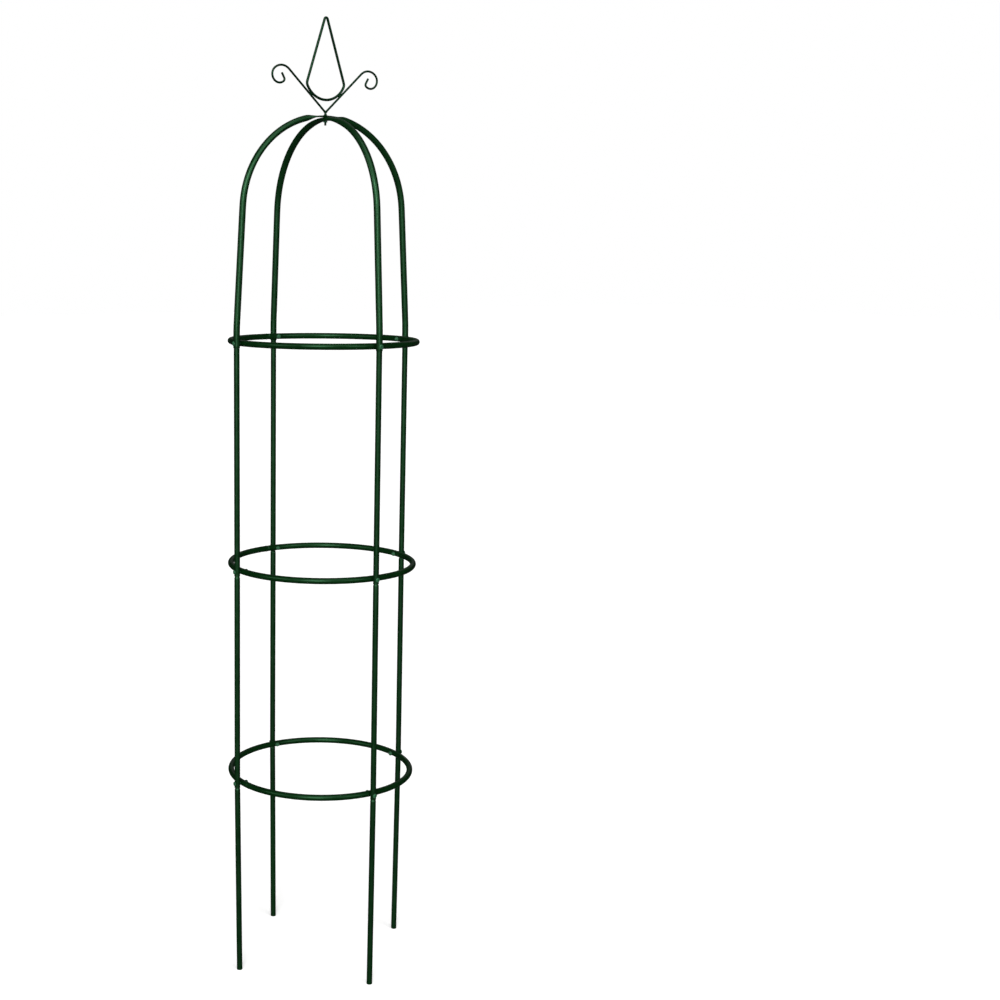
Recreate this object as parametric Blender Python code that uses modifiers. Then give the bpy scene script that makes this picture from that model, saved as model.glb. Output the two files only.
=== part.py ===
"""A garden obelisk: four posts in plug-together sections, three hoops, two arches and a wire finial.

The origin is at the middle of the four feet, +Z is up, and the upper arch and the finial stand in the
XZ plane. Everything is in metres. Pieces that touch keep a small gap between their meshes.
"""

from math import acos, asin, atan2, cos, hypot, pi, radians, sin, tan

import bmesh
import bpy
from mathutils import Matrix, Vector

# Heights
TOTAL_HEIGHT = 2.000
CROWN_HEIGHT = 1.8025  # middle of the upper arch's pressed crown
HOOP_HEIGHTS = {"bottom": 0.418, "middle": 0.874, "top": 1.345}

# Hoops
HOOP_RADIUS = 0.1940
HOOP_TUBE = 0.0064
HOOP_NECK = 0.0053
HOOP_WALL = 0.0007
HOOP_STEPS = 48  # a multiple of four, so that a ring of the tube lies at each screw
HOOP_JOINTS = {"bottom": radians(187.5), "middle": radians(97.5), "top": radians(97.5)}  # azimuths
JOINT_OVERLAP = 0.022

# Posts: an upper section slips over the necked top of the one below it, and a hoop's screw locks the two
POST_TUBE = 0.0060
POST_NECK = 0.0048
POST_WALL = 0.0006
FOOT_RADIUS = 0.2015
SEAM_DROP = 0.009
NECK_RISE = 0.016
SWAGE_LENGTH = 0.004

# Arches: a wider tube whose ends slip over the plain tops of the upper posts
ARCH_TUBE = 0.0068
ARCH_WALL = 0.0006
ARCH_BEND = 0.1935
ARCH_STEPS = 20
SLEEVE_LENGTH = 0.030
BEND_OVAL = 0.0005  # how far bending has squashed and widened the tube's half thickness and half width
OVAL_TO = 0.17  # distances along an arch from its crown
OVAL_FROM = 0.30

# Crowns: thickness, width, and the distances from the middle at which the tube leaves the press and is whole
UPPER_CROWN = (0.0030, 0.0190, 0.021, 0.047)
LOWER_CROWN = (0.0074, 0.0175, 0.022, 0.070)

# Fasteners
SCREW_RADIUS = 0.0024
SCREW_HEAD_RADIUS = 0.0046
SCREW_HEAD_HEIGHT = 0.0021
DOME = ((0, 1), (0.55, 0.84), (0.90, 0.45), (1, 0))  # shares of the head's radius and height
SCREW_PAST_NUT = 0.0016
SCREW_HOLE = 0.0028
NUT_ACROSS_FLATS = 0.0080
NUT_HEIGHT = 0.0040
STUD_RADIUS = 0.0024
STUD_HOLE = 0.0028
STUD_NUT_HEIGHT = 0.0027

# Finial
LOOP_WIRE = 0.0027
LOOP_RADIUS = 0.0483
LOOP_BOTTOM = 1.8350
LOOP_CORNER = radians(-20.7)  # where the round bottom meets the straight side, below the level of its centre
LOOP_STEPS = 9
TIP_BEND = 0.0036
TIP_STEPS = 4
SCROLL_WIRE = 0.0022
SCROLL_ROOT = 1.8100  # where the two scroll wires would cross on the axis
SCROLL_BENDS = ((0.0248, radians(85)), (0.0164, radians(180)), (0.0042, radians(78)))  # radius, sweep
SCROLL_STEP = radians(15)
SCROLL_LEAST_STEPS = 3
SCROLL_ARM = 0.1190
SCROLL_TAIL = 0.012
STUD_END = 1.784
COLLAR_RADIUS = 0.0042
COLLAR_HEIGHT = 0.003

GAP = 0.0003
MERGE = 0.00001
ROUND_STEPS = 10
HOLE_STEPS = 8
SHARP_ANGLE = radians(50)
CUTTER_DEPTH = 0.02

SIDES = {"a": 0.0, "b": pi / 2, "c": pi, "d": 3 * pi / 2}
SECTION_RADII = {
    "bottom": HOOP_RADIUS + HOOP_TUBE + GAP + POST_TUBE,
    "middle": HOOP_RADIUS + HOOP_TUBE + GAP + POST_TUBE,
    "top": HOOP_RADIUS + HOOP_TUBE + GAP + ARCH_TUBE,
}
LOWER_CROWN_HEIGHT = CROWN_HEIGHT - UPPER_CROWN[0] / 2 - GAP - LOWER_CROWN[0] / 2
NUT_SEAT = HOOP_RADIUS - HOOP_TUBE - 2 * GAP

COLOURS = {
    "post_coat": ((0.010, 0.055, 0.022, 1), 0.42, 0.0),
    "hoop_coat": ((0.010, 0.058, 0.024, 1), 0.42, 0.0),
    "arch_coat": ((0.011, 0.060, 0.026, 1), 0.40, 0.0),
    "wire_coat": ((0.008, 0.045, 0.026, 1), 0.45, 0.0),
    "fastener_coat": ((0.040, 0.130, 0.070, 1), 0.35, 0.3),
}


def clear_scene():
    for thing in list(bpy.data.objects):
        bpy.data.objects.remove(thing, do_unlink=True)


def new_collection(name):
    collection = bpy.data.collections.new(name)
    bpy.context.scene.collection.children.link(collection)
    return collection


def new_material(name):
    colour, roughness, metallic = COLOURS[name]
    material = bpy.data.materials.new(name)
    material.use_nodes = True
    shader = material.node_tree.nodes["Principled BSDF"]
    shader.inputs["Base Color"].default_value = colour
    shader.inputs["Roughness"].default_value = roughness
    shader.inputs["Metallic"].default_value = metallic
    material.diffuse_color = colour
    return material


clear_scene()
OBELISK = new_collection("garden_obelisk")
CUTTERS = new_collection("cutters")
MATERIALS = {name: new_material(name) for name in COLOURS}


def add_object(name, data, material, matrix=Matrix.Identity(4)):
    """An object of the obelisk, made from a mesh or a curve."""
    piece = bpy.data.objects.new(name, data)
    piece.matrix_world = matrix
    data.materials.clear()
    data.materials.append(MATERIALS[material])
    OBELISK.objects.link(piece)
    return piece


def to_mesh(piece):
    """The same piece as a mesh object, its modifiers applied, its seams welded and its round sides smooth."""
    graph = bpy.context.evaluated_depsgraph_get()
    mesh = bpy.data.meshes.new_from_object(piece.evaluated_get(graph))
    shape = bmesh.new()
    shape.from_mesh(mesh)
    bmesh.ops.remove_doubles(shape, verts=shape.verts, dist=MERGE)
    bmesh.ops.recalc_face_normals(shape, faces=shape.faces)
    shape.to_mesh(mesh)
    shape.free()
    mesh.shade_smooth()
    mesh.set_sharp_from_angle(angle=SHARP_ANGLE)
    name, matrix, material = piece.name, piece.matrix_world.copy(), piece.data.materials[0].name
    bpy.data.objects.remove(piece, do_unlink=True)
    return add_object(name, mesh, material, matrix)


def turned(name, profile, material, matrix, closed):
    """A shape turned about its Z axis from (radius, height) points that run down the outer side."""
    mesh = bpy.data.meshes.new(name)
    count = len(profile)
    edges = [(i, i + 1) for i in range(count - 1)]
    if closed:
        edges.append((count - 1, 0))
    mesh.from_pydata([(radius, 0, height) for radius, height in profile], edges, [])
    piece = add_object(name, mesh, material, matrix)
    screw = piece.modifiers.new("Turn", "SCREW")
    screw.axis = "Z"
    screw.steps = ROUND_STEPS
    screw.render_steps = ROUND_STEPS
    screw.use_merge_vertices = not closed
    screw.merge_threshold = MERGE
    return to_mesh(piece)


def wire(name, points, radius, material, cyclic=False):
    """A round wire through the points."""
    curve = bpy.data.curves.new(name, "CURVE")
    curve.dimensions = "3D"
    curve.bevel_depth = radius
    curve.bevel_resolution = 2
    curve.use_fill_caps = not cyclic
    spline = curve.splines.new("POLY")
    spline.points.add(len(points) - 1)
    for target, point in zip(spline.points, points):
        target.co = (*point, 1)
    spline.use_cyclic_u = cyclic
    return add_object(name, curve, material)


def cut(piece, cutter):
    boolean = piece.modifiers.new("Cut " + cutter.name, "BOOLEAN")
    boolean.operation = "DIFFERENCE"
    boolean.solver = "EXACT"
    boolean.object = cutter


def add_cutter(name, shape, matrix):
    mesh = bpy.data.meshes.new(name)
    shape.to_mesh(mesh)
    shape.free()
    cutter = bpy.data.objects.new(name, mesh)
    cutter.matrix_world = matrix
    cutter.display_type = "WIRE"
    cutter.hide_render = True
    CUTTERS.objects.link(cutter)
    return cutter


def rod(radius, length, segments=ROUND_STEPS):
    """A solid cylinder about Z, centred on its own middle."""
    shape = bmesh.new()
    bmesh.ops.create_cone(
        shape, cap_ends=True, segments=segments, radius1=radius, radius2=radius, depth=length
    )
    return shape


def around(azimuth):
    return Matrix.Rotation(azimuth, 4, "Z")


def radial(azimuth, radius, height):
    """A frame whose Z axis points away from the obelisk's axis, at this radius and height."""
    return around(azimuth) @ Matrix.Translation((radius, 0, height)) @ Matrix.Rotation(pi / 2, 4, "Y")


def add_hole_cutters():
    """One cutter for each screw, through a hoop and the post beside it."""
    inner = HOOP_RADIUS - 2 * HOOP_TUBE
    outer = SECTION_RADII["top"] + 2 * ARCH_TUBE
    cutters = {}
    for level, height in HOOP_HEIGHTS.items():
        for side, azimuth in SIDES.items():
            shape = rod(SCREW_HOLE, outer - inner, HOLE_STEPS)
            matrix = radial(azimuth, (inner + outer) / 2, height)
            cutters[level, side] = add_cutter(f"hole_{level}_{side}", shape, matrix)
    return cutters


def add_ground_cutter():
    """A block whose top face is the ground, so that leaning legs end level."""
    shape = bmesh.new()
    bmesh.ops.create_cube(shape, size=1)
    bmesh.ops.scale(shape, vec=(3 * FOOT_RADIUS, 3 * FOOT_RADIUS, CUTTER_DEPTH), verts=shape.verts)
    return add_cutter("ground", shape, Matrix.Translation((0, 0, -CUTTER_DEPTH / 2)))


def section_matrix(azimuth, low, high):
    """A frame with Z along a post section and its origin at the upper (radius, height) point."""
    lean = atan2(high[0] - low[0], high[1] - low[1])
    place = Matrix.Translation((high[0], 0, high[1]))
    return around(azimuth) @ place @ Matrix.Rotation(lean, 4, "Y")


def necked_profile(bottom):
    """A tube's wall from its plain bottom end to the neck that the next section slips over."""
    seam = -SEAM_DROP - GAP
    bore, neck_bore = POST_TUBE - POST_WALL, POST_NECK - POST_WALL
    return [
        (POST_NECK, NECK_RISE),
        (POST_NECK, seam),
        (POST_TUBE, seam - SWAGE_LENGTH),
        (POST_TUBE, bottom),
        (bore, bottom),
        (bore, seam - SWAGE_LENGTH),
        (neck_bore, seam),
        (neck_bore, NECK_RISE),
    ]


def plain_profile(bottom, top):
    bore = POST_TUBE - POST_WALL
    return [(POST_TUBE, top), (POST_TUBE, bottom), (bore, bottom), (bore, top)]


def add_posts(holes, ground):
    bottom, middle, top = [(SECTION_RADII[level], HOOP_HEIGHTS[level]) for level in HOOP_HEIGHTS]
    foot = (FOOT_RADIUS, 0)

    def length(low, high):
        return hypot(high[0] - low[0], high[1] - low[1])

    for side, azimuth in SIDES.items():
        below_ground = -length(foot, bottom) - POST_TUBE
        leg = turned(
            f"leg_{side}",
            necked_profile(below_ground),
            "post_coat",
            section_matrix(azimuth, foot, bottom),
            closed=True,
        )
        cut(leg, ground)
        cut(leg, holes["bottom", side])

        post = turned(
            f"middle_post_{side}",
            necked_profile(-length(bottom, middle) - SEAM_DROP),
            "post_coat",
            section_matrix(azimuth, bottom, middle),
            closed=True,
        )
        cut(post, holes["bottom", side])
        cut(post, holes["middle", side])

        post = turned(
            f"upper_post_{side}",
            plain_profile(-length(middle, top) - SEAM_DROP, SLEEVE_LENGTH),
            "post_coat",
            section_matrix(azimuth, middle, top),
            closed=True,
        )
        cut(post, holes["middle", side])
        cut(post, holes["top", side])


def add_hoop(level, holes):
    """An open hoop of tube whose necked end is pushed into its plain end."""
    height, start = HOOP_HEIGHTS[level], HOOP_JOINTS[level]
    step = 2 * pi / HOOP_STEPS
    overlap, swage = JOINT_OVERLAP / HOOP_RADIUS, SWAGE_LENGTH / HOOP_RADIUS
    turns = [(i * step, HOOP_TUBE) for i in range(HOOP_STEPS)]
    turns.append((2 * pi - swage, HOOP_TUBE))
    turns.append((2 * pi - GAP / HOOP_RADIUS, HOOP_NECK))
    turns.append((2 * pi + overlap / 2, HOOP_NECK))
    turns.append((2 * pi + overlap, HOOP_NECK))
    azimuths = [start + turn for turn, _ in turns]
    points = [(HOOP_RADIUS * cos(azimuth), HOOP_RADIUS * sin(azimuth), height) for azimuth in azimuths]
    hoop = wire(f"hoop_{level}", points, HOOP_TUBE, "hoop_coat")
    hoop.data.use_fill_caps = False
    for target, (_, radius) in zip(hoop.data.splines[0].points, turns):
        target.radius = radius / HOOP_TUBE
    wall = hoop.modifiers.new("Wall", "SOLIDIFY")
    wall.thickness = HOOP_WALL
    wall.offset = -1
    hoop = to_mesh(hoop)
    for side in SIDES:
        cut(hoop, holes[level, side])


def smooth_step(value):
    value = min(max(value, 0), 1)
    return value * value * (3 - 2 * value)


def arch_stations(crown_height):
    """(x, z, angle of the outward normal) along half of an arch, from its sleeve to the crown."""
    sleeve_x, hoop_height = SECTION_RADII["top"], HOOP_HEIGHTS["top"]
    sleeve_top = hoop_height + SLEEVE_LENGTH
    centre_z = crown_height - ARCH_BEND
    reach_z = sleeve_top - centre_z
    lean = atan2(reach_z, sleeve_x) + acos(ARCH_BEND / hypot(sleeve_x, reach_z))
    stations = [(sleeve_x, hoop_height - SEAM_DROP, 0), (sleeve_x, sleeve_top, lean / 2)]
    for i in range(ARCH_STEPS + 1):
        angle = lean + (pi / 2 - lean) * i / ARCH_STEPS
        stations.append((ARCH_BEND * cos(angle), centre_z + ARCH_BEND * sin(angle), angle))
    return stations


def arch_axes(distance, crown):
    """Half thickness and half width of an arch's section this far along it from the middle of its crown."""
    thickness, width, pressed_to, round_from = crown
    oval = BEND_OVAL * (1 - smooth_step((distance - OVAL_TO) / (OVAL_FROM - OVAL_TO)))
    flatness = 1 - smooth_step((distance - pressed_to) / (round_from - pressed_to))
    half_thickness = ARCH_TUBE - oval
    half_width = ARCH_TUBE + oval
    half_thickness += (thickness / 2 - half_thickness) * flatness
    half_width += (width / 2 - half_width) * flatness
    return half_thickness, half_width


def add_arch(name, azimuth, crown_height, crown, cutters):
    """A bent tube, pressed at its crown, lofted through unlike sections and mirrored."""
    stations = arch_stations(crown_height)
    distances = [0.0]
    for (x0, z0, _), (x1, z1, _) in zip(stations[::-1], stations[-2::-1]):
        distances.append(distances[-1] + hypot(x1 - x0, z1 - z0))
    distances.reverse()

    shape = bmesh.new()
    rings = []
    for (x, z, angle), distance in zip(stations, distances):
        half_thickness, half_width = arch_axes(distance, crown)
        pair = []
        for wall in (0, ARCH_WALL):
            ring = []
            for k in range(ROUND_STEPS):
                turn = 2 * pi * k / ROUND_STEPS
                out = (half_thickness - wall) * cos(turn)
                across = (half_width - wall) * sin(turn)
                ring.append(shape.verts.new((x + out * cos(angle), across, z + out * sin(angle))))
            pair.append(ring)
        rings.append(pair)

    def band(first, second):
        for k in range(ROUND_STEPS):
            after = (k + 1) % ROUND_STEPS
            shape.faces.new((first[k], first[after], second[after], second[k]))

    for low, high in zip(rings, rings[1:]):
        band(low[0], high[0])
        band(high[1], low[1])
    band(rings[0][1], rings[0][0])
    for vertex in rings[-1][0] + rings[-1][1]:
        vertex.co.x = 0
    bmesh.ops.recalc_face_normals(shape, faces=shape.faces)
    mesh = bpy.data.meshes.new(name)
    shape.to_mesh(mesh)
    shape.free()
    mesh.shade_smooth()
    mesh.set_sharp_from_angle(angle=SHARP_ANGLE)
    arch = add_object(name, mesh, "arch_coat", around(azimuth))
    mirror = arch.modifiers.new("Mirror", "MIRROR")
    mirror.merge_threshold = MERGE
    for cutter in cutters:
        cut(arch, cutter)


def add_screw(level, side):
    """A dome-headed screw from outside a post, through the hoop, into the nut."""
    tube = ARCH_TUBE if level == "top" else POST_TUBE
    seat = SECTION_RADII[level] + tube + GAP
    length = seat - (NUT_SEAT - NUT_HEIGHT - SCREW_PAST_NUT)
    profile = [(out * SCREW_HEAD_RADIUS, up * SCREW_HEAD_HEIGHT) for out, up in DOME]
    profile += [(SCREW_RADIUS, 0), (SCREW_RADIUS, -length), (0, -length)]
    matrix = radial(SIDES[side], seat, HOOP_HEIGHTS[level])
    turned(f"screw_{level}_{side}", profile, "fastener_coat", matrix, closed=False)


def add_nut(name, height, bore, matrix):
    """A hexagon nut about Z, centred on its own middle."""
    mesh = bpy.data.meshes.new(name)
    shape = rod(NUT_ACROSS_FLATS / 2 / cos(pi / 6), height, segments=6)
    shape.to_mesh(mesh)
    shape.free()
    nut = add_object(name, mesh, "fastener_coat", matrix)
    cut(nut, add_cutter(f"bore_{name}", rod(bore, 2 * height), matrix))


def add_fasteners():
    middle_radius = NUT_SEAT - NUT_HEIGHT / 2
    for level, height in HOOP_HEIGHTS.items():
        for side, azimuth in SIDES.items():
            add_screw(level, side)
            matrix = radial(azimuth, middle_radius, height)
            add_nut(f"nut_{level}_{side}", NUT_HEIGHT, SCREW_HOLE, matrix)


def loop_points():
    """The teardrop's centreline in the XZ plane: a round bottom, straight sides and a tight tip."""
    centre_z = LOOP_BOTTOM + LOOP_RADIUS
    corner = (LOOP_RADIUS * cos(LOOP_CORNER), centre_z + LOOP_RADIUS * sin(LOOP_CORNER))
    tip_z = TOTAL_HEIGHT - LOOP_WIRE - TIP_BEND
    reach_x, reach_z = -corner[0], tip_z - corner[1]
    side = atan2(reach_z, reach_x) - asin(TIP_BEND / hypot(reach_x, reach_z))
    half = []
    for i in range(LOOP_STEPS):
        angle = -pi / 2 + (LOOP_CORNER + pi / 2) * (i + 1) / LOOP_STEPS
        half.append((LOOP_RADIUS * cos(angle), centre_z + LOOP_RADIUS * sin(angle)))
    for i in range(TIP_STEPS):
        angle = (side - pi / 2) + (pi - side) * i / TIP_STEPS
        half.append((TIP_BEND * cos(angle), tip_z + TIP_BEND * sin(angle)))
    left = [(-x, z) for x, z in reversed(half)]
    outline = [(0, LOOP_BOTTOM)] + half + [(0, tip_z + TIP_BEND)] + left
    return [(x, 0, z) for x, z in outline]


def scroll_points():
    """The right-hand scroll's centreline: an arm just outside the loop, then a clockwise curl."""
    centre_z = LOOP_BOTTOM + LOOP_RADIUS
    rise = acos((LOOP_RADIUS + LOOP_WIRE + GAP + SCROLL_WIRE) / (centre_z - SCROLL_ROOT))
    near_axis = SCROLL_WIRE * sin(rise) + GAP
    position = Vector((near_axis, SCROLL_ROOT + near_axis * tan(rise)))
    heading = rise
    arm = SCROLL_ARM - near_axis / cos(rise)
    points = [position.copy()]
    position += arm * Vector((cos(heading), sin(heading)))
    points.append(position.copy())
    for radius, sweep in SCROLL_BENDS:
        steps = max(SCROLL_LEAST_STEPS, round(sweep / SCROLL_STEP))
        turn = sweep / steps
        for _ in range(steps):
            heading -= turn / 2
            position += 2 * radius * sin(turn / 2) * Vector((cos(heading), sin(heading)))
            heading -= turn / 2
            points.append(position.copy())
    position += SCROLL_TAIL * Vector((cos(heading), sin(heading)))
    points.append(position.copy())
    return [(x, 0, z) for x, z in points]


def add_finial():
    wire("finial_teardrop", loop_points(), LOOP_WIRE, "wire_coat", cyclic=True)
    right = scroll_points()
    wire("finial_scroll_right", right, SCROLL_WIRE, "wire_coat")
    wire("finial_scroll_left", [(-x, y, z) for x, y, z in right], SCROLL_WIRE, "wire_coat")

    collar = CROWN_HEIGHT + UPPER_CROWN[0] / 2 + GAP
    top = SCROLL_ROOT - GAP
    profile = [
        (0, top),
        (STUD_RADIUS, top),
        (STUD_RADIUS, collar + COLLAR_HEIGHT),
        (COLLAR_RADIUS, collar + COLLAR_HEIGHT / 2),
        (COLLAR_RADIUS, collar),
        (STUD_RADIUS, collar),
        (STUD_RADIUS, STUD_END),
        (0, STUD_END),
    ]
    turned("finial_stud", profile, "wire_coat", Matrix.Identity(4), closed=False)

    under_crowns = LOWER_CROWN_HEIGHT - LOWER_CROWN[0] / 2 - GAP
    matrix = Matrix.Translation((0, 0, under_crowns - STUD_NUT_HEIGHT / 2))
    add_nut("finial_nut", STUD_NUT_HEIGHT, STUD_HOLE, matrix)


def main():
    holes = add_hole_cutters()
    add_posts(holes, add_ground_cutter())
    for level in HOOP_HEIGHTS:
        add_hoop(level, holes)
    at_crown = Matrix.Translation((0, 0, LOWER_CROWN_HEIGHT))
    crown_hole = add_cutter("hole_crown", rod(STUD_HOLE, CUTTER_DEPTH), at_crown)
    across_x = (holes["top", "a"], holes["top", "c"], crown_hole)
    across_y = (holes["top", "b"], holes["top", "d"], crown_hole)
    add_arch("arch_upper", SIDES["a"], CROWN_HEIGHT, UPPER_CROWN, across_x)
    add_arch("arch_lower", SIDES["b"], LOWER_CROWN_HEIGHT, LOWER_CROWN, across_y)
    add_fasteners()
    add_finial()


main()
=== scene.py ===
"""The looks of the garden obelisk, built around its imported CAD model. Everything is in metres, +Z up."""

from math import acos, asin, atan2, ceil, cos, hypot, pi, radians, sin, tan

import bmesh
import bpy
import numpy as np
from mathutils import Matrix, Vector, noise


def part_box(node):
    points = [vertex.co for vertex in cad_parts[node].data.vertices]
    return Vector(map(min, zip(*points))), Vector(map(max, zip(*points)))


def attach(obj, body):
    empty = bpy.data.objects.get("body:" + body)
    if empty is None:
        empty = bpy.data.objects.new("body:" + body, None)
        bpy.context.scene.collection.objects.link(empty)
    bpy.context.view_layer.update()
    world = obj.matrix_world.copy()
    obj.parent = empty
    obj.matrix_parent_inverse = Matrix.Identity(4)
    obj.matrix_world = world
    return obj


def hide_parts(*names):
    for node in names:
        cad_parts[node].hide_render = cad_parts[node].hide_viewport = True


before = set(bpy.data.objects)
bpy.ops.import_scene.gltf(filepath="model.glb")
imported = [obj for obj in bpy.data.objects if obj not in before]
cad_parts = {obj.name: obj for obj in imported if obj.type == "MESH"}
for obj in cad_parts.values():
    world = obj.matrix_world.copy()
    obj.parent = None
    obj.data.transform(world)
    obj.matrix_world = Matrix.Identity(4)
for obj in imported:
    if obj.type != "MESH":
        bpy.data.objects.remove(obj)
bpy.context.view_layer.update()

# Sizes that the CAD model's boxes don't give. Tube, neck and wire sizes are radii.
HOOP_RADIUS = 0.1940
HOOP_TUBE = 0.0064
HOOP_NECK = 0.0053
HOOP_WALL = 0.0007
HOOP_JOINTS = {"bottom": radians(187.5), "middle": radians(97.5), "top": radians(97.5)}  # their azimuths
JOINT_OVERLAP = 0.022  # how far a hoop's neck goes into its mouth
LIP = 0.0004  # how far a hoop's mouth opens around its neck
LIP_LENGTH = 0.004
POST_TUBE = 0.0060
POST_NECK = 0.0048
POST_WALL = 0.0006
SWAGE_LENGTH = 0.004
NECK_LENGTH = 0.0253  # from the seam under a hoop to the neck's top
BELL = 0.00018  # how far a post's or an arch's mouth opens around the tube that goes into it
BELL_LENGTH = 0.003
FOOT_LIFT = 0.0001  # so that the rim of a leaning leg doesn't dip below the ground
ARCH_TUBE = 0.0068
ARCH_WALL = 0.0006
ARCH_BEND = 0.1935  # radius of an arch's centreline
SLEEVE_LENGTH = 0.039  # from an arch's mouth to where it starts to lean in
BEND_OVAL = 0.0005  # how far bending has squashed the tube's half thickness and widened its half width
OVAL_TO = 0.17  # distances along an arch from its crown
OVAL_FROM = 0.30
CROWNS = {  # height of the middle, thickness, width, pressed out to, whole again from, section's power
    "arch_upper": (1.8025, 0.0030, 0.0190, 0.021, 0.047, 0.45),
    "arch_lower": (1.7970, 0.0074, 0.0175, 0.022, 0.070, 0.72),
}
SCREW_RADIUS = 0.0024
SCREW_HEAD_RADIUS = 0.0046
SCREW_HEAD_HEIGHT = 0.0021
SCREW_THREAD = 0.009  # length of the threaded end
THREAD_PITCH = 0.0008
THREAD_DEPTH = 0.00032
THREAD_TAPER = 0.0007  # length of a thread's thinner end
THREAD_POINT = 0.0006  # how much less its radius is there
NUT_ACROSS_FLATS = 0.0080
NUT_FACE = 0.94  # radius of a nut's round faces, as a share of half its width
NUT_CHAMFER_ANGLE = radians(60)
NUT_LEAD = 0.0004  # how far a nut's bore opens at its faces
STUD_RADIUS = 0.0024
LOOP_WIRE = 0.0027
LOOP_RADIUS = 0.0483
LOOP_CORNER = radians(-20.7)  # where the loop's round bottom ends, as an angle from level
TIP_BEND = 0.0036
SCROLL_WIRE = 0.0022
SCROLL_BELOW_LOOP = 0.0250  # from the loop's lowest centreline point down to where the scrolls would cross
SCROLL_BENDS = ((0.0248, radians(85)), (0.0164, radians(180)), (0.0042, radians(78)))
SCROLL_ARM = 0.1190
SCROLL_TAIL = 0.012
WIRE_CHAMFER = 0.12  # at a wire's end, as a share of its radius
BUTT_WELD = 0.00045  # how far the weld that closes the loop stands out
BUTT_WELD_LENGTH = 0.0016
BUTT_WELD_DROP = 0.004  # how far it lies below the loop's corner
GAP = 0.0003

# Fineness
TUBE_SIDES = 40
WIRE_SIDES = 24
FASTENER_SIDES = 48
RIM_STEPS = 6
HOOP_STEPS = 180
LIP_STEPS = 9
SWAGE_STEPS = 8
ARC_STEPS = 60
LOOP_STEPS = 48
TIP_STEPS = 16
DOME_STEPS = 12
CHAMFER_STEPS = 6
SHOULDER_STEPS = 8
THREAD_STEPS = 10  # rings in each turn of a thread
ARCH_SPACING = 0.005
WIRE_SPACING = 0.0016
SCROLL_STEP = radians(4)
SHARP = radians(38)  # a corner sharper than this stays crisp

# Share of rubbed coat, from 0 to 1
RIM_WEAR = 0.75
WIRE_END_WEAR = 0.8
SCREW_THREAD_WEAR = 0.5
HEAD_EDGE_WEAR = 0.6
DOME_WEAR = 0.15
NUT_EDGE_WEAR = 0.45
NUT_LEAD_WEAR = 0.3
THREAD_WEAR = 0.2
SHOULDER_WEAR = 0.05

# Looks: linear colours, and noise in lumps to the metre
COAT_LOOKS = {  # dark and light colour, shine, least and most roughness, strength of the orange peel
    "post_coat": ((0.0006, 0.0078, 0.0012), (0.0012, 0.0122, 0.0022), 0.38, (0.30, 0.42), 0.35),
    "hoop_coat": ((0.0007, 0.0090, 0.0014), (0.0014, 0.0140, 0.0025), 0.22, (0.25, 0.35), 0.35),
    "arch_coat": ((0.0007, 0.0090, 0.0014), (0.0014, 0.0140, 0.0025), 0.42, (0.28, 0.40), 0.35),
    "wire_coat": ((0.0006, 0.0056, 0.0018), (0.0012, 0.0086, 0.0030), 0.24, (0.32, 0.44), 0.35),
    # The fastener coat's colours are far lighter than the tubes' partly as painted highlight: the real coat
    # is the same green, and the extra lightness stands in for the glint on screw heads and nuts.
    "fastener_coat": ((0.011, 0.052, 0.023), (0.019, 0.076, 0.036), 0.45, (0.24, 0.34), 0.25),
}
COAT_GLINT = (0.35, 1.0, 0.50)  # tint of a coat's reflections
RUBBED = (0.045, 0.075, 0.052)
DUST = 0.16  # how strongly the dustiest specks show
DUST_LIGHTNESS = 4  # how many times lighter dust is than the coat
CLOUD_SCALE = 22
DUST_SCALE = 1500
CHIP_SCALE = 900
PATCH_SCALE = 85
PEEL_SCALE = 700
PEEL_DEPTH = 0.00012
RIPPLE_SCALE = 120
RIPPLE_DEPTH = 0.00025
RIPPLE_STRENGTH = 0.25
FLOOR_PAINTS = ((0.86, 0.86, 0.855), (0.89, 0.89, 0.885))
FLOOR_CLOUD_SCALE = 1.5
FLOOR_ROUGHNESS = 0.9
FLOOR_SHINE = 0.1
FLOOR_GLOW = 0.36  # brings the floor up to white
WHITE = (1.0, 1.0, 1.0, 1)

# Studio
FLOOR_HALF = 30.0
WORLD_LIGHT = 0.02
WORLD_SEEN = 1.0
SUNS = {  # azimuth and elevation it comes from and how broad it is, in degrees, and its strength
    "key": (-130, 22, 28, 2.6),
    "key_left": (-178, 20, 26, 0.8),
    "key_right": (-82, 20, 26, 0.9),
    "low": (-126, 5, 16, 0.6),
    "top": (-110, 62, 50, 1.2),
    "back": (50, 40, 60, 0.12),
}
CAMERA_PLACE = (-1.7618, -2.8056, 1.5393)
CAMERA_HEADING = radians(-32.13)
CAMERA_DIP = radians(9.103)
CAMERA_ROLL = radians(0.443)
CAMERA_LENS = 56.90
CAMERA_SENSOR = 36.0
CAMERA_SHIFT = 0.1775
CAMERA_REACH = 200.0

SIDES = {"a": 0.0, "b": pi / 2, "c": pi, "d": 3 * pi / 2}
LEVELS = ("bottom", "middle", "top")
ALONG_Y = np.array((0.0, 1.0, 0.0))
UP = np.array((0.0, 0.0, 1.0))
FASTENER_TURNS = 2 * pi * np.arange(FASTENER_SIDES) / FASTENER_SIDES


# ---------------------------------------------------------------- materials

def new_nodes(name):
    material = bpy.data.materials.new(name)
    material.use_nodes = True
    return material, material.node_tree.nodes, material.node_tree.links


def noise_node(nodes, links, scale, detail, roughness=0.5):
    """A noise texture in metres of the piece, so its grain has the same size on every piece."""
    place = nodes.get("Place") or nodes.new("ShaderNodeTexCoord")
    place.name = "Place"
    texture = nodes.new("ShaderNodeTexNoise")
    texture.inputs["Scale"].default_value = scale
    texture.inputs["Detail"].default_value = detail
    texture.inputs["Roughness"].default_value = roughness
    links.new(place.outputs["Object"], texture.inputs["Vector"])
    return texture.outputs["Fac"]


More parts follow.
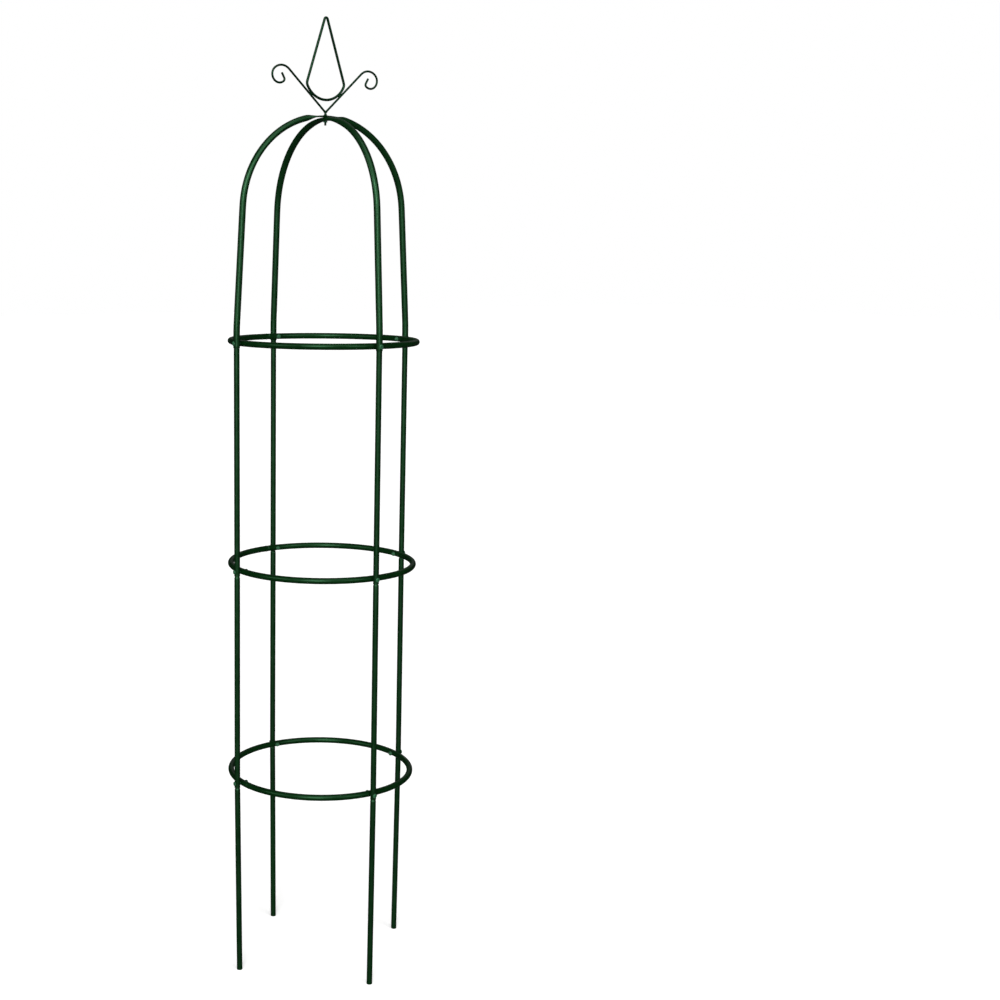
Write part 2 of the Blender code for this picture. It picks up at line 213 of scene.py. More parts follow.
def ramp_node(nodes, links, source, stops):
    """Colours or values along a ramp; stops are (position, linear colour or grey)."""
    ramp = nodes.new("ShaderNodeValToRGB")
    elements = ramp.color_ramp.elements
    while len(elements) < len(stops):
        elements.new(0.5)
    for element, (position, value) in zip(elements, stops):
        element.position = position
        element.color = (*value, 1) if isinstance(value, tuple) else (value, value, value, 1)
    links.new(source, ramp.inputs["Fac"])
    return ramp.outputs["Color"]


def mix_node(nodes, links, factor, first, second):
    """A colour mix; each of first and second is a socket or a linear colour."""
    mix = nodes.new("ShaderNodeMix")
    mix.data_type = "RGBA"
    links.new(factor, mix.inputs["Factor"])
    for name, value in (("A", first), ("B", second)):
        socket = [s for s in mix.inputs if s.name == name and s.type == "RGBA"][0]
        if isinstance(value, tuple):
            socket.default_value = (*value, 1)
        else:
            links.new(value, socket)
    return [s for s in mix.outputs if s.type == "RGBA"][0]


def multiply_node(nodes, links, first, second):
    product = nodes.new("ShaderNodeMath")
    product.operation = "MULTIPLY"
    for factor, socket in zip((first, second), product.inputs):
        links.new(factor, socket)
    return product.outputs["Value"]


def bump_node(nodes, links, height, strength, distance, normal=None):
    bump = nodes.new("ShaderNodeBump")
    bump.inputs["Strength"].default_value = strength
    bump.inputs["Distance"].default_value = distance
    links.new(height, bump.inputs["Height"])
    if normal:
        links.new(normal, bump.inputs["Normal"])
    return bump.outputs["Normal"]


def coat_material(name, dark, light, shine, roughness, grain):
    """Green powder coat on steel: orange peel, soft shifts of colour, dust specks and rubbed edges."""
    material, nodes, links = new_nodes(name)
    shader = nodes["Principled BSDF"]
    shader.inputs["Specular IOR Level"].default_value = shine
    shader.inputs["Specular Tint"].default_value = (*COAT_GLINT, 1)

    cloud = noise_node(nodes, links, CLOUD_SCALE, 3)
    body = ramp_node(nodes, links, cloud, ((0.32, dark), (0.68, light)))
    speck = noise_node(nodes, links, DUST_SCALE, 2, 0.6)
    specks = ramp_node(nodes, links, speck, ((0.66, 0.0), (0.76, DUST)))
    dust = tuple(DUST_LIGHTNESS * value for value in light)
    dusty = mix_node(nodes, links, specks, body, dust)

    wear = nodes.new("ShaderNodeAttribute")
    wear.attribute_name = "wear"
    chip = noise_node(nodes, links, CHIP_SCALE, 3, 0.7)
    chips = ramp_node(nodes, links, chip, ((0.47, 0.0), (0.60, 1.0)))
    rubbed = multiply_node(nodes, links, wear.outputs["Fac"], chips)
    links.new(mix_node(nodes, links, rubbed, dusty, RUBBED), shader.inputs["Base Color"])

    patch = noise_node(nodes, links, PATCH_SCALE, 3)
    low, high = roughness
    links.new(ramp_node(nodes, links, patch, ((0.3, low), (0.7, high))), shader.inputs["Roughness"])

    peel = noise_node(nodes, links, PEEL_SCALE, 2)
    ripple = noise_node(nodes, links, RIPPLE_SCALE, 1)
    rippled = bump_node(nodes, links, ripple, RIPPLE_STRENGTH, RIPPLE_DEPTH)
    links.new(bump_node(nodes, links, peel, grain, PEEL_DEPTH, rippled), shader.inputs["Normal"])
    return material


def floor_material():
    """A pale matt studio floor with a faint unevenness."""
    material, nodes, links = new_nodes("pale_floor")
    shader = nodes["Principled BSDF"]
    shader.inputs["Roughness"].default_value = FLOOR_ROUGHNESS
    shader.inputs["Specular IOR Level"].default_value = FLOOR_SHINE
    shader.inputs["Emission Color"].default_value = WHITE
    shader.inputs["Emission Strength"].default_value = FLOOR_GLOW
    cloud = noise_node(nodes, links, FLOOR_CLOUD_SCALE, 3)
    dark, light = FLOOR_PAINTS
    paint = ramp_node(nodes, links, cloud, ((0.3, dark), (0.7, light)))
    links.new(paint, shader.inputs["Base Color"])
    return material


COATS = {slot: coat_material(slot, *look) for slot, look in COAT_LOOKS.items()}


# ---------------------------------------------------------------- meshes

def skin(name, rings, closed, wear):
    """A mesh through rings of points, joined last to first if closed and capped at both ends if not.

    wear gives each ring's share of rubbed coat.
    """
    points = np.array(rings)
    count, sides = points.shape[:2]
    grid = np.arange(count * sides).reshape(count, sides)
    here = grid if closed else grid[:-1]
    there = np.roll(grid, -1, axis=0) if closed else grid[1:]
    quads = np.stack((here, np.roll(here, -1, 1), np.roll(there, -1, 1), there), axis=-1)
    faces = quads.reshape(-1, 4).tolist()
    if not closed:
        faces += [grid[0, ::-1].tolist(), grid[-1].tolist()]
    mesh = bpy.data.meshes.new(name)
    mesh.from_pydata(points.reshape(-1, 3).tolist(), [], faces)
    rubbed = mesh.attributes.new("wear", "FLOAT", "POINT")
    rubbed.data.foreach_set("value", np.repeat(np.array(wear, dtype=np.float32), sides))
    finish_mesh(mesh)
    return mesh


def finish_mesh(mesh):
    """Faces outward, round sides smooth and real corners crisp."""
    shape = bmesh.new()
    shape.from_mesh(mesh)
    bmesh.ops.recalc_face_normals(shape, faces=shape.faces)
    shape.to_mesh(mesh)
    shape.free()
    mesh.shade_smooth()
    mesh.set_sharp_from_angle(angle=SHARP)


def add_piece(name, mesh, slot, nodes=(), matrix=Matrix.Identity(4)):
    """A shown piece with its coat, riding on the body and standing for its CAD nodes."""
    piece = bpy.data.objects.new(name, mesh)
    piece.matrix_world = matrix
    bpy.context.scene.collection.objects.link(piece)
    if not mesh.materials:
        mesh.materials.append(COATS[slot])
    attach(piece, "root")
    if nodes:
        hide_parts(*nodes)
    return piece


def section(centre, out, side, thick, wide, power, sides):
    """A ring that is a circle at power 1 and a flat strip with round edges at a low power."""
    turns = 2 * pi * np.arange(sides) / sides
    across, along = np.cos(turns), np.sin(turns)
    across = np.sign(across) * np.abs(across) ** power
    along = np.sign(along) * np.abs(along) ** power
    return centre + thick * across[:, None] * out + wide * along[:, None] * side


def unit(vectors):
    return vectors / np.linalg.norm(vectors, axis=-1, keepdims=True)


def tube_rings(path, side, sizes, wall, sides=TUBE_SIDES):
    """Rings along a tube's outer skin, over a half-round rim, back through its bore and over the other rim.

    path lies in the plane across side; sizes are (half thickness, half width, power) at each of its points.
    """
    tangents = unit(np.gradient(path, axis=0))
    outs = unit(np.cross(side, tangents))
    count = len(path)
    rings, wear = [], []

    def ring(i, shrink, shift=0.0, rubbed=0.0):
        thick, wide, power = sizes[i]
        centre = path[i] + shift * tangents[i]
        rings.append(section(centre, outs[i], side, thick - shrink, wide - shrink, power, sides))
        wear.append(rubbed)

    def rim(i, outward, first, last):
        for step in range(RIM_STEPS + 1):
            turn = first + (last - first) * step / RIM_STEPS
            shift = outward * wall / 2 * (sin(turn) - 1)
            ring(i, wall / 2 * (1 - cos(turn)), shift, rubbed=RIM_WEAR * sin(turn))

    for i in range(1, count - 1):
        ring(i, 0)
    rim(count - 1, 1, 0, pi)
    for i in range(count - 2, 0, -1):
        ring(i, wall)
    rim(0, -1, pi, 0)
    return rings, wear


def end_centres(node):
    """The middles of a CAD tube's lowest and highest rings of vertices."""
    low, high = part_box(node)
    points = np.array([v.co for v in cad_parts[node].data.vertices])
    near = 0.001
    bottom = points[points[:, 2] < low.z + near]
    top = points[points[:, 2] > high.z - near]
    return (bottom.min(0) + bottom.max(0)) / 2, (top.min(0) + top.max(0)) / 2


def smooth_step(value):
    value = min(max(value, 0), 1)
    return value * value * (3 - 2 * value)


# ---------------------------------------------------------------- posts

def opened(distance):
    """How far a tube is opened, this far from its mouth, by the tube that goes into it."""
    return BELL * (1 - smooth_step(distance / BELL_LENGTH))


def post_stations(length, mouth, neck):
    """(distance from the lower end, radius) up a post section."""
    edge = BELL_LENGTH / 5
    near_mouth = [edge * i for i in range(6)] + [BELL_LENGTH * 2, BELL_LENGTH * 4]
    stations = [(distance, POST_TUBE + (opened(distance) if mouth else 0)) for distance in near_mouth]
    top = length - NECK_LENGTH - SWAGE_LENGTH if neck else length - edge
    pieces = 6
    start = stations[-1][0]
    stations += [(start + (top - start) * i / pieces, POST_TUBE) for i in range(1, pieces + 1)]
    if neck:
        for i in range(1, SWAGE_STEPS + 1):
            share = i / SWAGE_STEPS
            radius = POST_TUBE + (POST_NECK - POST_TUBE) * smooth_step(share)
            stations.append((top + SWAGE_LENGTH * share, radius))
        stations.append((length - edge, POST_NECK))
    stations.append((length, POST_NECK if neck else POST_TUBE))
    return stations


def add_post(node, azimuth, mouth, neck):
    low, high = end_centres(node)
    length = np.linalg.norm(high - low)
    axis = (high - low) / length
    side = np.array((-sin(azimuth), cos(azimuth), 0.0))
    stations = post_stations(length, mouth, neck)
    if not mouth:
        low = low + axis * FOOT_LIFT
    path = np.array([low + axis * distance for distance, _ in stations])
    sizes = [(radius, radius, 1.0) for _, radius in stations]
    rings, wear = tube_rings(path, side, sizes, POST_WALL)
    name = node + "_tube"
    add_piece(name, skin(name, rings, True, wear), "post_coat", [node])


def add_posts():
    for side, azimuth in SIDES.items():
        add_post(f"leg_{side}", azimuth, mouth=False, neck=True)
        add_post(f"middle_post_{side}", azimuth, mouth=True, neck=True)
        add_post(f"upper_post_{side}", azimuth, mouth=True, neck=False)


# ---------------------------------------------------------------- hoops

def hoop_radius(turn):
    """The hoop tube's radius at this angle from its mouth."""
    from_mouth = turn * HOOP_RADIUS
    from_seam = (turn - 2 * pi) * HOOP_RADIUS
    lip = LIP * (1 - smooth_step(from_mouth / LIP_LENGTH))
    necked = smooth_step((from_seam + SWAGE_LENGTH) / (SWAGE_LENGTH - GAP))
    return HOOP_TUBE + lip + (HOOP_NECK - HOOP_TUBE) * necked


def add_hoop(level):
    node = f"hoop_{level}"
    low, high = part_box(node)
    height = (low.z + high.z) / 2
    last = 2 * pi + JOINT_OVERLAP / HOOP_RADIUS
    near = LIP_LENGTH / HOOP_RADIUS
    turns = list(np.linspace(0, near, LIP_STEPS))
    turns += list(np.linspace(near, 2 * pi - 2 * near, HOOP_STEPS))[1:]
    turns += list(np.linspace(2 * pi - 2 * near, 2 * pi, 2 * LIP_STEPS))[1:]
    turns += list(np.linspace(2 * pi, last, LIP_STEPS))[1:]
    azimuths = HOOP_JOINTS[level] + np.array(turns)
    around = np.stack((np.cos(azimuths), np.sin(azimuths), np.zeros(len(turns))), axis=-1)
    path = HOOP_RADIUS * around + height * UP
    sizes = [(hoop_radius(turn), hoop_radius(turn), 1.0) for turn in turns]
    rings, wear = tube_rings(path, UP, sizes, HOOP_WALL)
    name = node + "_tube"
    add_piece(name, skin(name, rings, True, wear), "hoop_coat", [node])


# ---------------------------------------------------------------- arches

def distances(points):
    """How far along the path each of its points is."""
    steps = np.linalg.norm(np.diff(points, axis=0), axis=1)
    return np.concatenate(([0], np.cumsum(steps)))


def spaced(points, spacing):
    """The same path with evenly spaced points."""
    reach = distances(points)
    wanted = np.linspace(0, reach[-1], ceil(reach[-1] / spacing) + 1)
    return np.stack([np.interp(wanted, reach, points[:, k]) for k in range(points.shape[1])], axis=-1)


def eased(points, passes):
    """The same path with its kinks rounded off, its ends kept."""
    points = points.copy()
    for _ in range(passes):
        points[1:-1] = (points[:-2] + 2 * points[1:-1] + points[2:]) / 4
    return points


def eased_ring(points, passes):
    """The same closed path with its kinks rounded off."""
    for _ in range(passes):
        points = (np.roll(points, 1, axis=0) + 2 * points + np.roll(points, -1, axis=0)) / 4
    return points


def arch_path(mouth, half_span, crown):
    """An arch's centreline in its own (across, up) plane, from one mouth to the other."""
    sleeve_top = mouth + SLEEVE_LENGTH
    centre_z = crown - ARCH_BEND
    reach_z = sleeve_top - centre_z
    lean = atan2(reach_z, half_span) + acos(ARCH_BEND / hypot(half_span, reach_z))
    half = [(half_span, mouth), (half_span, sleeve_top)]
    for i in range(ARC_STEPS + 1):
        angle = lean + (pi / 2 - lean) * i / ARC_STEPS
        half.append((ARCH_BEND * cos(angle), centre_z + ARCH_BEND * sin(angle)))
    whole = half + [(-x, z) for x, z in reversed(half[:-1])]
    return eased(spaced(np.array(whole), ARCH_SPACING), passes=6)


def pressed(distance, crown):
    """(half thickness, half width, power) of an arch's section this far along it from the crown."""
    _, thickness, width, pressed_to, round_from, flattest = crown
    oval = BEND_OVAL * (1 - smooth_step((distance - OVAL_TO) / (OVAL_FROM - OVAL_TO)))
    flatness = 1 - smooth_step((distance - pressed_to) / (round_from - pressed_to))
    thick, wide = ARCH_TUBE - oval, ARCH_TUBE + oval
    thick += (thickness / 2 - thick) * flatness
    wide += (width / 2 - wide) * flatness
    return thick, wide, 1 + (flattest - 1) * flatness


def add_arch(node, azimuth):
    low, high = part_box(node)
    half_span = max(high.x, high.y) - ARCH_TUBE
    crown = CROWNS[node]
    flat_path = arch_path(low.z, half_span, crown[0])
    along = np.array((cos(azimuth), sin(azimuth), 0.0))
    side = np.array((-sin(azimuth), cos(azimuth), 0.0))
    path = flat_path[:, :1] * along + flat_path[:, 1:] * UP
    reach = distances(path)
    sizes = []
    for distance in reach:
        thick, wide, power = pressed(abs(distance - reach[-1] / 2), crown)
        bell = opened(min(distance, reach[-1] - distance))
        sizes.append((thick + bell, wide + bell, power))
    rings, wear = tube_rings(path, side, sizes, ARCH_WALL)
    name = node + "_tube"
    add_piece(name, skin(name, rings, True, wear), "arch_coat", [node])


# ---------------------------------------------------------------- fasteners

def fastener_ring(radii, height):
    """A ring about Z whose radius is one value or one for each of its points."""
    across, along = radii * np.cos(FASTENER_TURNS), radii * np.sin(FASTENER_TURNS)
    return np.stack((across, along, np.full(FASTENER_SIDES, height)), axis=-1)


def turned_rings(profile):
    """Rings about Z from (radius, height) points."""
    return [fastener_ring(radius, height) for radius, height in profile]


def thread_rings(radius, low, high):
    """Rings of a screw thread about Z, from low up to high, tapered at its lower end."""
    rings = []
    for height in np.linspace(low, high, ceil((high - low) / THREAD_PITCH * THREAD_STEPS)):
        phase = (height / THREAD_PITCH + FASTENER_TURNS / (2 * pi)) % 1
        depth = THREAD_DEPTH * np.abs(2 * phase - 1)
        shrink = THREAD_POINT * (1 - smooth_step((height - low) / THREAD_TAPER))
        rings.append(fastener_ring(radius - depth - shrink, height))
    return rings


def screw_mesh(name, length):
    """A dome-headed screw about Z whose head sits on the origin, with a cross recess and a threaded end."""
    head, thread_top = SCREW_HEAD_RADIUS, -length + SCREW_THREAD
    edge, skirt = 0.0003, 0.0007  # heights of the head's rounded lower edge and of its side
    bevel, draft, tiny = 0.00008, 0.00004, 0.0002
    rings = thread_rings(SCREW_RADIUS, -length, thread_top)
    wear = [SCREW_THREAD_WEAR] * len(rings)
    shank = [(SCREW_RADIUS, thread_top + edge), (SCREW_RADIUS, 0.0), (head - edge, 0.0)]
    head_edge = [(head - bevel, bevel), (head, edge), (head - draft, skirt)]
    dome = []
    for i in range(1, DOME_STEPS + 1):
        angle = pi / 2 * i / DOME_STEPS
        dome.append((max(head * cos(angle), tiny), skirt + (SCREW_HEAD_HEIGHT - skirt) * sin(angle)))
    rings += turned_rings(shank + head_edge + dome)
    wear += [0.0] * len(shank) + [HEAD_EDGE_WEAR] * len(head_edge) + [DOME_WEAR] * len(dome)
    mesh = skin(name, rings, False, wear)
    return cut_mesh(mesh, recess_mesh())


def recess_mesh():
    """The cutter of a cross recess: two crossed blades that taper downward, about Z."""
    half_length, half_width, depth = 0.0027, 0.00052, 0.0019
    top = (half_length, half_width, depth)
    foot = (0.45 * half_length, 0.7 * half_width, -depth)
    shape = bmesh.new()
    for turn in (0, pi / 2):
        made = bmesh.ops.create_cube(shape, size=2)["verts"]
        for vertex in made:
            across, along, rise = foot if vertex.co.z < 0 else top
            vertex.co.x *= across
            vertex.co.y *= along
            vertex.co.z = SCREW_HEAD_HEIGHT + rise
        bmesh.ops.rotate(shape, verts=made, matrix=Matrix.Rotation(turn + pi / 4, 3, "Z"))
    mesh = bpy.data.meshes.new("cross_recess")
    shape.to_mesh(mesh)
    shape.free()
    return mesh


def cut_mesh(mesh, cutter):
    """The mesh less the cutter, which may cross itself."""
    body = bpy.data.objects.new("cut_body", mesh)
    tool = bpy.data.objects.new("cut_tool", cutter)
    for thing in (body, tool):
        bpy.context.scene.collection.objects.link(thing)
    boolean = body.modifiers.new("Cut", "BOOLEAN")
    boolean.operation = "DIFFERENCE"
    boolean.solver = "EXACT"
    boolean.use_self = True
    boolean.object = tool
    graph = bpy.context.evaluated_depsgraph_get()
    result = bpy.data.meshes.new_from_object(body.evaluated_get(graph))
    for thing in (body, tool):
        bpy.data.objects.remove(thing, do_unlink=True)
    result.materials.clear()
    result.shade_smooth()
    result.set_sharp_from_angle(angle=SHARP)
    return result


def nut_mesh(name, height, bore):
    """A hexagon nut about Z, centred on its middle, with chamfered corners and a threaded bore."""
    inradius = NUT_ACROSS_FLATS / 2
    from_flat = (FASTENER_TURNS + pi / 6) % (pi / 3) - pi / 6
    hexagon = inradius / np.cos(from_flat)
    face_radius, slope = inradius * NUT_FACE, tan(NUT_CHAMFER_ANGLE)
    chamfer = (inradius / cos(pi / 6) - face_radius) / slope
    drops = [chamfer * i / CHAMFER_STEPS for i in range(CHAMFER_STEPS + 1)]
    chamfered = [np.minimum(hexagon, face_radius + drop * slope) for drop in drops]
    upper = [fastener_ring(radii, height / 2 - drop) for radii, drop in zip(chamfered, drops)]
    outside = upper + [ring * (1, 1, -1) for ring in reversed(upper)]
    lower_lead, upper_lead = turned_rings([(bore + NUT_LEAD, -height / 2), (bore + NUT_LEAD, height / 2)])
    inside = thread_rings(bore + THREAD_DEPTH / 2, NUT_LEAD - height / 2, height / 2 - NUT_LEAD)
    rings = outside + [lower_lead] + inside + [upper_lead]
    wear = [NUT_EDGE_WEAR] * len(outside) + [NUT_LEAD_WEAR] + [THREAD_WEAR] * len(inside) + [NUT_LEAD_WEAR]
    return skin(name, rings, True, wear)


def radial(azimuth, centre):
    """A frame at this point whose Z axis points away from the obelisk's axis."""
    return Matrix.Translation(centre) @ Matrix.Rotation(azimuth, 4, "Z") @ Matrix.Rotation(pi / 2, 4, "Y")


def add_fasteners():
    spins = Vector((11, 7, 15))  # degrees for each level, side and both, so that no two are turned alike
    for number, level in enumerate(LEVELS):
        low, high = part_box(f"screw_{level}_a")
        length = high.x - low.x - SCREW_HEAD_HEIGHT
        screw = screw_mesh(f"screw_{level}", length)
        nut_low, nut_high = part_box(f"nut_{level}_a")
        nut = nut_mesh(f"nut_{level}", nut_high.x - nut_low.x, SCREW_RADIUS)
        for place, (side, azimuth) in enumerate(SIDES.items()):
            height = (low.z + high.z) / 2
            around = Vector((cos(azimuth), sin(azimuth), 0))
            turn = Matrix.Rotation(radians(spins.dot((number, place, number * place))), 4, "Z")
            seat = around * (high.x - SCREW_HEAD_HEIGHT) + Vector((0, 0, height))
            node = f"screw_{level}_{side}"
            add_piece(node + "_dome_head", screw, "fastener_coat", [node], radial(azimuth, seat) @ turn)
            middle = around * (nut_low.x + nut_high.x) / 2 + Vector((0, 0, height))
            node = f"nut_{level}_{side}"
            add_piece(node + "_hexagon", nut, "fastener_coat", [node], radial(azimuth, middle) @ turn)


# ---------------------------------------------------------------- finial

def wire_rings(path, radius, closed, swell=0.0):
    """Rings along a round wire in the XZ plane, with chamfered ends unless it is closed.

    swell is what to add to its radius, the same everywhere or for each point of the path.
    """
    onward = np.roll(path, -1, 0) - np.roll(path, 1, 0) if closed else np.gradient(path, axis=0)
    tangents = unit(onward)
    outs = unit(np.cross(ALONG_Y, tangents))

    def ring(i, thick, shift=0.0):
        centre = path[i] + shift * tangents[i]
        return section(centre, outs[i], ALONG_Y, thick, thick, 1.0, WIRE_SIDES)

    radii = np.full(len(path), radius) + swell
    rings = [ring(i, thick) for i, thick in enumerate(radii)]
    wear = [0.0] * len(rings)
    if closed:
        return rings, wear
    chamfer = WIRE_CHAMFER * radius
    start, end = ring(0, radius - chamfer, -chamfer), ring(-1, radius - chamfer, chamfer)
    return [start] + rings + [end], [WIRE_END_WEAR] + wear + [WIRE_END_WEAR]


def loop_outline(bottom, top):
    """The teardrop's centreline as (across, up) points: a round bottom, straight sides and a tight tip."""
    centre_z = bottom + LOOP_RADIUS
    corner = (LOOP_RADIUS * cos(LOOP_CORNER), centre_z + LOOP_RADIUS * sin(LOOP_CORNER))
    tip_z = top - TIP_BEND
    reach_x, reach_z = -corner[0], tip_z - corner[1]
    lean = atan2(reach_z, reach_x) - asin(TIP_BEND / hypot(reach_x, reach_z))
    half = []
    for angle in np.linspace(0, LOOP_CORNER + pi / 2, LOOP_STEPS):
        half.append((LOOP_RADIUS * sin(angle), centre_z - LOOP_RADIUS * cos(angle)))
    for angle in np.linspace(lean - pi / 2, pi / 2, TIP_STEPS):
        half.append((TIP_BEND * cos(angle), tip_z + TIP_BEND * sin(angle)))
    return np.array(half + [(-x, z) for x, z in reversed(half[1:-1])])


def in_front(points):
    """(across, up) points as places in the XZ plane."""
    points = np.array(points)
    return np.stack((points[:, 0], np.zeros(len(points)), points[:, 1]), axis=-1)


def scroll_outline(bottom):
    """The right-hand scroll's centreline as (across, up) points, and its arm's rise."""
    root = bottom - SCROLL_BELOW_LOOP
    centre_z = bottom + LOOP_RADIUS
    rise = acos((LOOP_RADIUS + LOOP_WIRE + GAP + SCROLL_WIRE) / (centre_z - root))
    near_axis = SCROLL_WIRE * sin(rise) + GAP
    position = np.array((near_axis, root + near_axis * tan(rise)))
    heading = rise
    arm = SCROLL_ARM - near_axis / cos(rise)
    points = [position + arm * share * np.array((cos(heading), sin(heading))) for share in (0, 0.5, 1)]
    position = points[-1]
    for radius, sweep in SCROLL_BENDS:
        steps = ceil(sweep / SCROLL_STEP)
        turn = sweep / steps
        for _ in range(steps):
            heading -= turn / 2
            position = position + 2 * radius * sin(turn / 2) * np.array((cos(heading), sin(heading)))
            heading -= turn / 2
            points.append(position)
    points.append(position + SCROLL_TAIL * np.array((cos(heading), sin(heading))))
    return np.array(points), rise


def bead_mesh(name, half_size, lumps):
    """A lumpy bead of weld metal about the origin, its length along X; lumps picks how its lumps fall."""
    lumpiness, closeness, ripples, ripple_reach = 0.16, 1.7, 0.05, 0.00045
    half_size = Vector(half_size)
    shape = bmesh.new()
    bmesh.ops.create_icosphere(shape, subdivisions=4, radius=1)
    for vertex in shape.verts:
        lump = noise.noise(vertex.co * closeness + Vector((lumps, 0, 0)))
        ripple = sin(vertex.co.x * half_size.x / ripple_reach)
        vertex.co = vertex.co * half_size * (1 + lumpiness * lump + ripples * ripple)
    mesh = bpy.data.meshes.new(name)
    shape.to_mesh(mesh)
    shape.free()
    finish_mesh(mesh)
    return mesh


def add_welds(bottom, rise):
    """Beads where the scrolls meet on the stud and where each touches the loop, on both faces."""
    saddle_size, saddle_rise = (0.0040, 0.0030, 0.0030), 0.0012
    bead_size, bead_out = (0.0048, 0.0011, 0.0013), 0.0011
    saddle = bead_mesh("scroll_root_weld", saddle_size, 2.0)
    place = Matrix.Translation((0, 0, bottom - SCROLL_BELOW_LOOP + saddle_rise))
    add_piece("scroll_root_weld", saddle, "wire_coat", matrix=place)
    touch = LOOP_RADIUS + LOOP_WIRE
    for number, (name, hand) in enumerate((("right", 1), ("left", -1))):
        place = Vector((hand * touch * sin(rise), 0, bottom + LOOP_RADIUS - touch * cos(rise)))
        for face, across in (("front", -1), ("back", 1)):
            bead = bead_mesh(f"loop_weld_{name}_{face}", bead_size, 3.0 + number + across)
            spot = Matrix.Translation(place + Vector((0, across * bead_out, 0)))
            matrix = spot @ Matrix.Rotation(-hand * rise, 4, "Y")
            add_piece(f"loop_weld_{name}_{face}", bead, "wire_coat", matrix=matrix)


def add_finial():
    low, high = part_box("finial_teardrop")
    bottom, top = low.z + LOOP_WIRE, high.z - LOOP_WIRE
    loop = loop_outline(bottom, top)
    closed_loop = spaced(np.concatenate((loop, loop[:1])), WIRE_SPACING)[:-1]
    below_tip = closed_loop[:, 1:] < top - 4 * TIP_BEND
    closed_loop = np.where(below_tip, eased_ring(closed_loop, passes=8), closed_loop)
    corner_z = bottom + LOOP_RADIUS * (1 + sin(LOOP_CORNER))
    weld = np.array((LOOP_RADIUS * cos(LOOP_CORNER), corner_z - BUTT_WELD_DROP))
    away = np.linalg.norm(closed_loop - weld, axis=1)
    swell = BUTT_WELD * np.exp(-((away / BUTT_WELD_LENGTH) ** 2))
    rings, wear = wire_rings(in_front(closed_loop), LOOP_WIRE, True, swell)
    mesh = skin("teardrop_wire", rings, True, wear)
    add_piece("teardrop_wire", mesh, "wire_coat", ["finial_teardrop"])

    outline, rise = scroll_outline(bottom)
    right = eased(spaced(outline, WIRE_SPACING), passes=2)
    for name, hand in (("right", 1), ("left", -1)):
        path = in_front(right * np.array((hand, 1)))
        rings, wear = wire_rings(path, SCROLL_WIRE, False)
        mesh = skin(f"scroll_wire_{name}", rings, False, wear)
        add_piece(f"scroll_wire_{name}", mesh, "wire_coat", [f"finial_scroll_{name}"])
    add_welds(bottom, rise)


def add_stud():
    """The finial's stud: a threaded end through both crowns, a weld shoulder on the strip, a plain top."""
    low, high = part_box("finial_stud")
    crown_height, thickness = CROWNS["arch_upper"][:2]
    seat = crown_height + thickness / 2 + GAP
    radius = high.x
    foot, shoulder = 0.0006, 0.0028
    rings = thread_rings(STUD_RADIUS, low.z, seat)
    wear = [THREAD_WEAR] * len(rings)
    profile = [(radius - foot / 2, seat), (radius - foot / 6, seat + foot / 3), (radius, seat + foot)]
    for i in range(1, SHOULDER_STEPS + 1):
        angle = pi / 2 * i / SHOULDER_STEPS
        across = STUD_RADIUS + (radius - STUD_RADIUS) * (1 - sin(angle))
        profile.append((across, seat + foot + shoulder * (1 - cos(angle))))
    profile.append((STUD_RADIUS, high.z))
    rings += turned_rings(profile)
    wear += [SHOULDER_WEAR] * len(profile)
    add_piece("stud_threaded", skin("stud_threaded", rings, False, wear), "wire_coat", ["finial_stud"])


def add_stud_nut():
    low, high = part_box("finial_nut")
    mesh = nut_mesh("stud_nut", high.z - low.z, STUD_RADIUS)
    spin = Matrix.Rotation(radians(17), 4, "Z")
    place = Matrix.Translation((0, 0, (low.z + high.z) / 2)) @ spin
    add_piece("finial_nut_hexagon", mesh, "fastener_coat", ["finial_nut"], place)


# ---------------------------------------------------------------- studio

def add_floor():
    corners = [(FLOOR_HALF * x, FLOOR_HALF * y, 0) for x, y in ((-1, -1), (1, -1), (1, 1), (-1, 1))]
    mesh = bpy.data.meshes.new("studio_floor")
    mesh.from_pydata(corners, [], [(0, 1, 2, 3)])
    mesh.materials.append(floor_material())
    floor = bpy.data.objects.new("studio_floor", mesh)
    floor.visible_glossy = False  # the dark coat would mirror it as a pale band
    bpy.context.scene.collection.objects.link(floor)


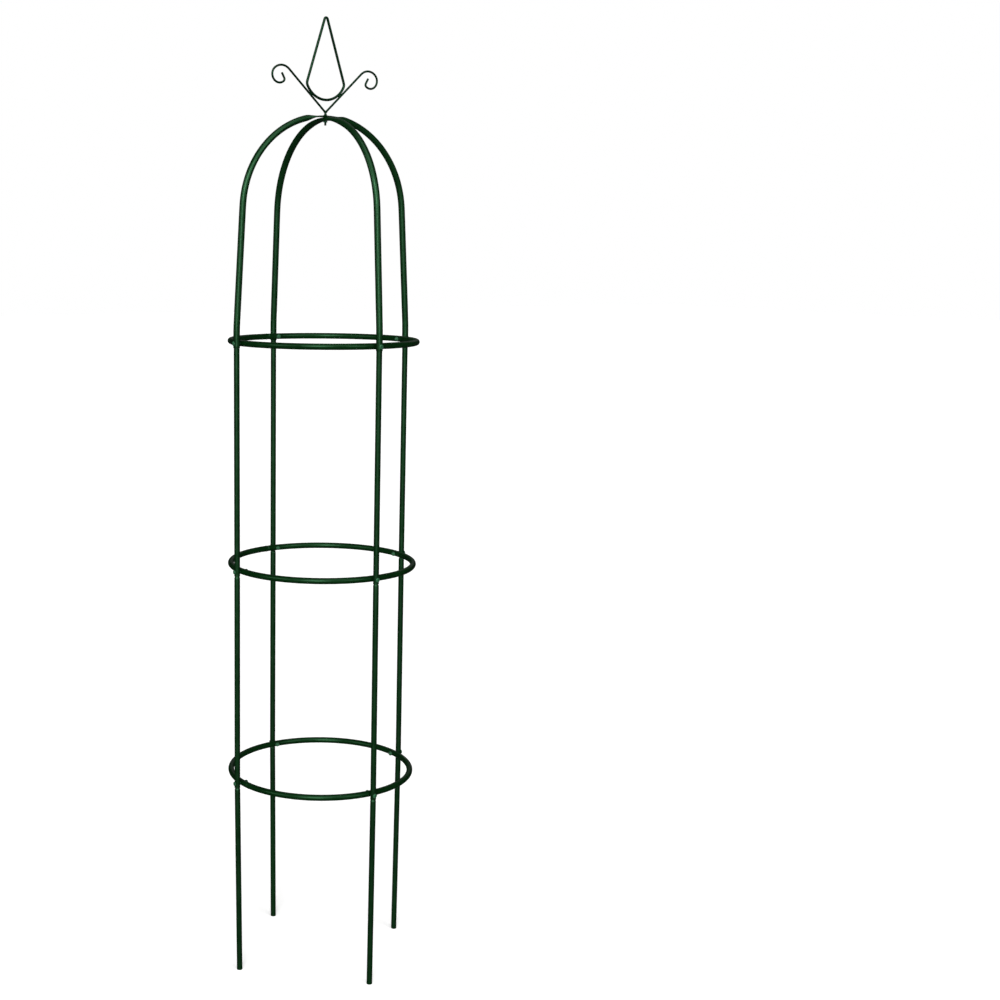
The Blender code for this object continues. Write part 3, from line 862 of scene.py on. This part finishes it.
def add_sun(name, azimuth, elevation, angle, strength):
    """A broad soft sun; its azimuth, elevation and angle are in degrees."""
    light = bpy.data.lights.new(name, "SUN")
    light.angle = radians(angle)
    light.energy = strength
    lamp = bpy.data.objects.new(name, light)
    around, up = radians(azimuth), radians(elevation)
    source = Vector((cos(up) * cos(around), cos(up) * sin(around), sin(up)))
    lamp.rotation_euler = (-source).to_track_quat("-Z", "Y").to_euler()
    bpy.context.scene.collection.objects.link(lamp)


def add_world():
    """An even pale surround: white where the camera looks past the floor, dimmer as a light."""
    world = bpy.data.worlds.new("studio")
    world.use_nodes = True
    nodes, links = world.node_tree.nodes, world.node_tree.links
    background = nodes["Background"]
    background.inputs["Color"].default_value = WHITE
    seen = nodes.new("ShaderNodeLightPath")
    strength = nodes.new("ShaderNodeMapRange")
    strength.inputs["To Min"].default_value = WORLD_LIGHT
    strength.inputs["To Max"].default_value = WORLD_SEEN
    links.new(seen.outputs["Is Camera Ray"], strength.inputs["Value"])
    links.new(strength.outputs["Result"], background.inputs["Strength"])
    bpy.context.scene.world = world


def add_lights():
    add_world()
    for name, sun in SUNS.items():
        add_sun(name, *sun)


def add_camera():
    """The camera stands level with the arches, a little over three metres away, and looks slightly down."""
    camera = bpy.data.cameras.new("camera")
    camera.lens = CAMERA_LENS
    camera.sensor_width = CAMERA_SENSOR
    camera.shift_x = CAMERA_SHIFT
    camera.clip_end = CAMERA_REACH
    eye = bpy.data.objects.new("camera", camera)
    heading = Matrix.Rotation(CAMERA_HEADING, 4, "Z")
    dip = Matrix.Rotation(pi / 2 - CAMERA_DIP, 4, "X")
    roll = Matrix.Rotation(CAMERA_ROLL, 4, "Z")
    eye.matrix_world = Matrix.Translation(CAMERA_PLACE) @ heading @ dip @ roll
    bpy.context.scene.collection.objects.link(eye)
    bpy.context.scene.camera = eye


def main():
    add_camera()
    add_lights()
    add_floor()
    add_posts()
    for level in LEVELS:
        add_hoop(level)
    add_arch("arch_upper", SIDES["a"])
    add_arch("arch_lower", SIDES["b"])
    add_fasteners()
    add_finial()
    add_stud()
    add_stud_nut()
    bpy.context.scene.view_settings.view_transform = "Standard"


main()
